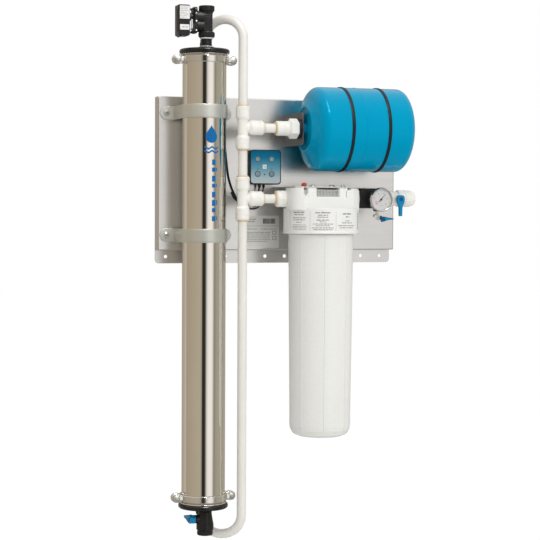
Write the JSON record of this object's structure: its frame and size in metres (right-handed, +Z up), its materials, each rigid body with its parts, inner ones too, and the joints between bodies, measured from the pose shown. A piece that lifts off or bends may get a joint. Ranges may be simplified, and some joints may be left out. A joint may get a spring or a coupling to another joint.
{
  "type": "wall-mounted membrane water treatment unit",
  "caption": "Wall panel carrying a tall stainless membrane vessel with end valves, a blue pressure tank, a white filter housing, controller, gauge and outlet valve.",
  "frame": {"origin": "wall plane, middle of the panel's width, on the centre line of the lower flange's hole row", "axes": "+X right seen from the front, +Y back into the wall, +Z up"},
  "size_m": [0.6175, 0.2397, 1.2689],
  "materials": {
    "panel_steel": "cold-rolled stainless sheet, soft reflections",
    "satin_steel": "satin, bead blasted",
    "vessel_steel": "polished stainless tube",
    "clamp_steel": "polished cast stainless",
    "gauge_steel": "drawn stainless case",
    "black_plastic": "moulded, fine texture",
    "seal_rubber": "satin rubber",
    "element_white": "wrapped element",
    "tube_white": "semi-matt extruded tube",
    "fitting_white": "moulded",
    "housing_white": "moulded, soft sheen",
    "cartridge_fibre": "wound fibre",
    "tank_blue": "gloss paint",
    "cap_blue": "moulded",
    "lever_blue": "moulded",
    "bracket_grey": "satin paint",
    "button_red": "moulded",
    "key_grey": "membrane keys"
  },
  "bodies": {
    "root": {"mounting_panel": "panel_steel", "vessel_strap_upper": "satin_steel", "vessel_strap_lower": "satin_steel", "strap_bolt_upper_left": "satin_steel", "strap_bolt_upper_right": "satin_steel", "strap_bolt_lower_left": "satin_steel", "strap_bolt_lower_right": "satin_steel", "vessel_tube": "vessel_steel", "membrane_element": "element_white", "end_cap_top": "black_plastic", "end_cap_bottom": "black_plastic", "end_cap_seal_top": "seal_rubber", "end_cap_seal_bottom": "seal_rubber", "clamp_top_front": "clamp_steel", "clamp_top_rear": "clamp_steel", "clamp_bottom_front": "clamp_steel", "clamp_bottom_rear": "clamp_steel", "flush_valve_body": "black_plastic", "flush_valve_bonnet": "black_plastic", "solenoid_coil": "black_plastic", "inlet_valve_body": "black_plastic", "port_fitting_top": "black_plastic", "port_fitting_bottom": "black_plastic", "riser_tube_upper": "tube_white", "riser_tube_lower": "tube_white", "riser_tube_middle": "tube_white", "upper_tee": "fitting_white", "lower_tee": "fitting_white", "tank_branch_tube": "tube_white", "filter_branch_tube": "tube_white", "tank_adapter": "fitting_white", "filter_inlet_adapter": "fitting_white", "pressure_tank": "tank_blue", "tank_band_left": "seal_rubber", "tank_band_right": "seal_rubber", "tank_air_valve_cap": "cap_blue", "tank_bracket": "bracket_grey", "tank_lock_ring": "black_plastic", "filter_cap": "housing_white", "filter_bracket": "satin_steel", "controller_case": "black_plastic", "outlet_manifold": "black_plastic", "gauge_case": "gauge_steel", "outlet_valve_body": "fitting_white", "sample_valve_body": "fitting_white"},
    "sump_carrier": {"filter_cartridge": "cartridge_fibre", "sump_seal": "seal_rubber"},
    "sump": {"filter_sump": "housing_white"},
    "inlet_lever": {"inlet_valve_handle": "lever_blue"},
    "outlet_lever": {"outlet_valve_handle": "lever_blue"},
    "sample_lever": {"sample_valve_handle": "lever_blue"},
    "plunger": {"solenoid_plunger": "clamp_steel"},
    "pointer": {"gauge_pointer": "black_plastic"},
    "relief": {"relief_button": "button_red"},
    "key_a": {"key_upper_left": "key_grey"},
    "key_b": {"key_upper_right": "key_grey"},
    "key_c": {"key_lower_left": "key_grey"},
    "key_d": {"key_lower_right": "key_grey"},
    "key_e": {"key_centre": "key_grey"}
  },
  "joints": [
    {"name": "sump_drop", "type": "slide", "parent": "root", "child": "sump_carrier", "axis": [0, 0, -1], "range_m": [0, 0.024]},
    {"name": "sump_unscrew", "type": "hinge", "parent": "sump_carrier", "child": "sump", "pos_m": [0.072, -0.137, 0], "axis": [0, 0, -1], "range_deg": [0, 1450]},
    {"name": "inlet_lever_turn", "type": "hinge", "parent": "root", "child": "inlet_lever", "pos_m": [-0.247, -0.121, -0.622], "axis": [-1, 0, 0], "range_deg": [0, 90]},
    {"name": "outlet_lever_turn", "type": "hinge", "parent": "root", "child": "outlet_lever", "pos_m": [0.267, -0.167, 0.1415], "axis": [0, -1, 0], "range_deg": [0, 90]},
    {"name": "sample_lever_turn", "type": "hinge", "parent": "root", "child": "sample_lever", "pos_m": [0.222, -0.154, 0.0945], "axis": [0, 1, 0], "range_deg": [0, 90]},
    {"name": "plunger_lift", "type": "slide", "parent": "root", "child": "plunger", "axis": [-1, 0, 0], "range_m": [0, 0.003]},
    {"name": "pointer_sweep", "type": "hinge", "parent": "root", "child": "pointer", "pos_m": [0.206, -0.193, 0.1405], "axis": [0, 1, 0], "range_deg": [-176, 93]},
    {"name": "relief_press", "type": "slide", "parent": "root", "child": "relief", "axis": [0, 0, -1], "range_m": [0, 0.0025]},
    {"name": "key_upper_left_press", "type": "slide", "parent": "root", "child": "key_a", "axis": [0, 1, 0], "range_m": [0, 0.0007]},
    {"name": "key_upper_right_press", "type": "slide", "parent": "root", "child": "key_b", "axis": [0, 1, 0], "range_m": [0, 0.0007]},
    {"name": "key_lower_left_press", "type": "slide", "parent": "root", "child": "key_c", "axis": [0, 1, 0], "range_m": [0, 0.0007]},
    {"name": "key_lower_right_press", "type": "slide", "parent": "root", "child": "key_d", "axis": [0, 1, 0], "range_m": [0, 0.0007]},
    {"name": "key_centre_press", "type": "slide", "parent": "root", "child": "key_e", "axis": [0, 1, 0], "range_m": [0, 0.0007]}
  ],
  "couplings": [
    {"joint": "sump_unscrew", "follows": "sump_drop", "rad_per_m": 1047.2}
  ]
}
